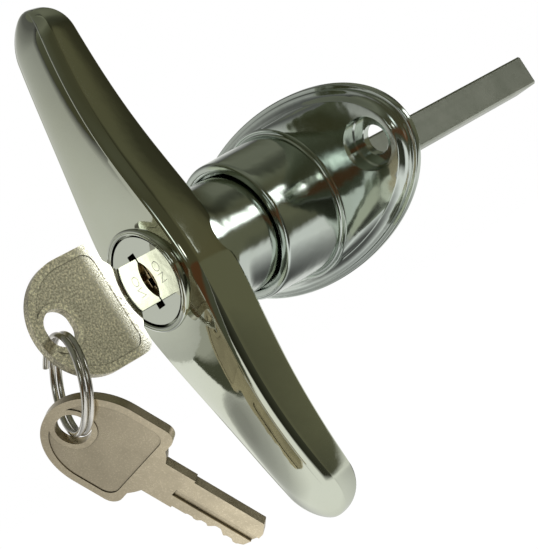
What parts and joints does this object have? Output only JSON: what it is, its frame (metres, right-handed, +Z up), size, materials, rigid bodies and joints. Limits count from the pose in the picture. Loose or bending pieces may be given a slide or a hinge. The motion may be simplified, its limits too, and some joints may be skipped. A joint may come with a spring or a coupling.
{
  "type": "garage door t handle lock",
  "caption": "Chrome T handle on an oval screwed base with a keyed wafer lock in the bar; the handle turns a square spindle that works a door's latch, and the key throws a bolt that stops it",
  "frame": {"origin": "centre of the screw holes on the base's back face, where the lock axis meets the door", "axes": "+Y into the door along the spindle, +Z up along the T bar, X along the line of the two screw holes"},
  "size_m": [0.0806, 0.1677, 0.1222],
  "materials": {
    "chrome_plate": "polished chrome plate on a zinc casting",
    "zinc_steel": "dull zinc plate, drawn bar",
    "spring_steel": "oiled spring steel",
    "pin_steel": "ground steel",
    "plug_chrome": "polished plug face",
    "wafer_brass": "stamped brass",
    "key_nickel": "nickel plate on brass, worn",
    "ring_steel": "nickel plated spring wire"
  },
  "bodies": {
    "base": {"base_escutcheon": "chrome_plate"},
    "handle": {"t_handle": "chrome_plate", "spindle": "zinc_steel", "spindle_pin": "pin_steel", "thrust_washer": "zinc_steel", "snap_ring": "spring_steel", "lock_sleeve": "plug_chrome", "sleeve_pin": "pin_steel"},
    "plug": {"lock_plug": "plug_chrome", "drive_pin": "pin_steel", "plug_clip": "spring_steel", "wafer_spring_1": "spring_steel", "wafer_spring_2": "spring_steel", "wafer_spring_3": "spring_steel", "wafer_spring_4": "spring_steel", "wafer_spring_5": "spring_steel"},
    "lock_bolt": {"lock_bolt": "zinc_steel"},
    "key_1": {"key_1": "key_nickel"},
    "key_ring": {"key_ring": "ring_steel"},
    "key_2": {"key_2": "key_nickel"},
    "wafer_1": {"wafer_1": "wafer_brass"},
    "wafer_2": {"wafer_2": "wafer_brass"},
    "wafer_3": {"wafer_3": "wafer_brass"},
    "wafer_4": {"wafer_4": "wafer_brass"},
    "wafer_5": {"wafer_5": "wafer_brass"}
  },
  "joints": [
    {"name": "handle_turn", "type": "hinge", "parent": "base", "child": "handle", "pos_m": [0, 0, 0], "axis": [0, 1, 0], "range_deg": [0, 90]},
    {"name": "plug_turn", "type": "hinge", "parent": "handle", "child": "plug", "pos_m": [0, 0, 0], "axis": [0, 1, 0], "range_deg": [0, 90]},
    {"name": "bolt_slide", "type": "slide", "parent": "handle", "child": "lock_bolt", "axis": [1, 0, 0], "range_m": [0, 0.003]},
    {"name": "key_slide", "type": "slide", "parent": "plug", "child": "key_1", "axis": [0, -1, 0], "range_m": [0, 0.024]},
    {"name": "ring_swing", "type": "hinge", "parent": "key_1", "child": "key_ring", "pos_m": [0, -0.07305, -0.001], "axis": [-1, 0, 0], "range_deg": [0, 30]},
    {"name": "key_2_swing", "type": "hinge", "parent": "key_ring", "child": "key_2", "pos_m": [-0.00408, -0.07862, -0.01867], "axis": [-0.9025, 0.3012, 0.3079], "range_deg": [0, 20]},
    {"name": "wafer_1_slide", "type": "slide", "parent": "plug", "child": "wafer_1", "axis": [0, 0, -1], "range_m": [0, 0.001], "stiffness_N_per_m": 200, "deforming": ["wafer_spring_1"]},
    {"name": "wafer_2_slide", "type": "slide", "parent": "plug", "child": "wafer_2", "axis": [0, 0, -1], "range_m": [0, 0.001], "stiffness_N_per_m": 200, "deforming": ["wafer_spring_2"]},
    {"name": "wafer_3_slide", "type": "slide", "parent": "plug", "child": "wafer_3", "axis": [0, 0, -1], "range_m": [0, 0.001], "stiffness_N_per_m": 200, "deforming": ["wafer_spring_3"]},
    {"name": "wafer_4_slide", "type": "slide", "parent": "plug", "child": "wafer_4", "axis": [0, 0, -1], "range_m": [0, 0.001], "stiffness_N_per_m": 200, "deforming": ["wafer_spring_4"]},
    {"name": "wafer_5_slide", "type": "slide", "parent": "plug", "child": "wafer_5", "axis": [0, 0, -1], "range_m": [0, 0.001], "stiffness_N_per_m": 200, "deforming": ["wafer_spring_5"]}
  ],
  "couplings": [
    {"joint": "bolt_slide", "follows": "plug_turn", "m_per_rad": 0.0019099}
  ]
}
